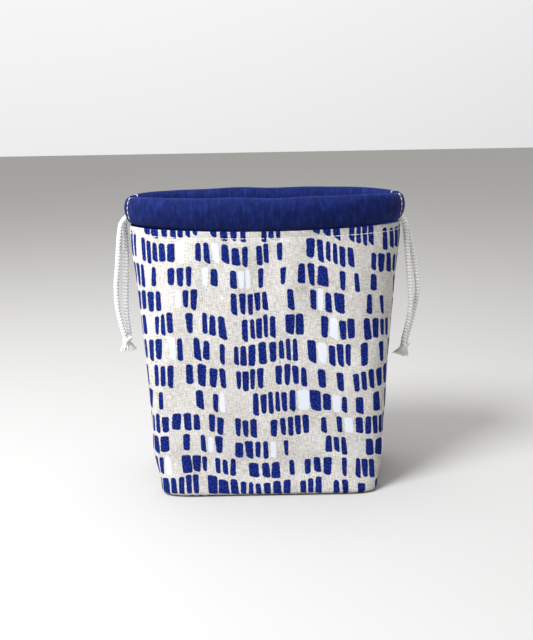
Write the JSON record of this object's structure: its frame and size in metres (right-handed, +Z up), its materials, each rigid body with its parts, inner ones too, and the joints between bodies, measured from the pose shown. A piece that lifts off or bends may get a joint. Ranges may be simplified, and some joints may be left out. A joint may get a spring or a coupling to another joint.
{
  "type": "drawstring storage bag",
  "caption": "Canvas drawstring bag with a boxed bottom that stands open like a bin, with a folded casing round its mouth and knotted cotton drawstrings at both sides.",
  "frame": {"origin": "middle of the base, on the surface that the bag stands on", "axes": "+Z up, -Y towards the front panel, +X to the right seen from the front"},
  "size_m": [0.2152, 0.085, 0.206],
  "materials": {
    "canvas": "matte natural cotton and linen canvas with printed blue and white dashes",
    "interlining": "matte off-white stiffener",
    "navy_cotton": "matte navy plain-weave cotton",
    "white_thread": "white polyester sewing thread",
    "cotton_cord": "matte natural white cotton cord"
  },
  "bodies": {
    "bag": {"outer_front_panel": "canvas", "outer_back_panel": "canvas", "interlining_front_panel": "interlining", "interlining_back_panel": "interlining", "lining_front_panel": "navy_cotton", "lining_back_panel": "navy_cotton", "base_seam": "canvas", "side_seam_left": "canvas", "side_seam_right": "canvas", "corner_seam_thread_left": "white_thread", "corner_seam_thread_right": "white_thread", "topstitch_front": "white_thread", "topstitch_back": "white_thread", "hem_stitch_front_left": "white_thread", "hem_stitch_front_right": "white_thread", "hem_stitch_back_left": "white_thread", "hem_stitch_back_right": "white_thread", "left_cord_bridge": "cotton_cord", "right_cord_bridge": "cotton_cord"},
    "front_rim": {"casing_front": "navy_cotton", "left_cord_front_run": "cotton_cord", "right_cord_front_run": "cotton_cord"},
    "back_rim": {"casing_back": "navy_cotton", "left_cord_back_run": "cotton_cord", "right_cord_back_run": "cotton_cord"},
    "left_tail": {"left_cord_front_strand": "cotton_cord", "left_cord_back_strand": "cotton_cord"},
    "left_cord_end": {"left_knot": "cotton_cord", "left_cord_front_end": "cotton_cord", "left_cord_back_end": "cotton_cord"},
    "right_tail": {"right_cord_front_strand": "cotton_cord", "right_cord_back_strand": "cotton_cord"},
    "right_cord_end": {"right_knot": "cotton_cord", "right_cord_front_end": "cotton_cord", "right_cord_back_end": "cotton_cord"}
  },
  "joints": [
    {"name": "mouth_close", "type": "slide", "parent": "bag", "child": "front_rim", "axis": [0, 1, 0], "range_m": [0, 0.0275], "deforming": ["casing_front", "left_cord_front_run", "right_cord_front_run"]},
    {"name": "mouth_close_back", "type": "slide", "parent": "bag", "child": "back_rim", "axis": [0, -1, 0], "range_m": [0, 0.0275], "deforming": ["casing_back", "left_cord_back_run", "right_cord_back_run"]},
    {"name": "left_tail_swing", "type": "hinge", "parent": "bag", "child": "left_tail", "pos_m": [-0.0975, 0, 0.192], "axis": [0, 1, 0], "range_deg": [-4, 100], "deforming": ["left_cord_front_strand", "left_cord_back_strand"]},
    {"name": "left_drawstring_pull", "type": "slide", "parent": "left_tail", "child": "left_cord_end", "axis": [0, 0, -1], "range_m": [0, 0.02]},
    {"name": "right_tail_swing", "type": "hinge", "parent": "bag", "child": "right_tail", "pos_m": [0.0975, 0, 0.188], "axis": [0, -1, 0], "range_deg": [-2, 100], "deforming": ["right_cord_front_strand", "right_cord_back_strand"]},
    {"name": "right_drawstring_pull", "type": "slide", "parent": "right_tail", "child": "right_cord_end", "axis": [0, 0, -1], "range_m": [0, 0.02]}
  ],
  "couplings": [
    {"joint": "mouth_close_back", "follows": "mouth_close", "ratio": 1},
    {"joint": "left_drawstring_pull", "follows": "mouth_close", "ratio": 0.727},
    {"joint": "right_drawstring_pull", "follows": "mouth_close", "ratio": 0.727}
  ]
}
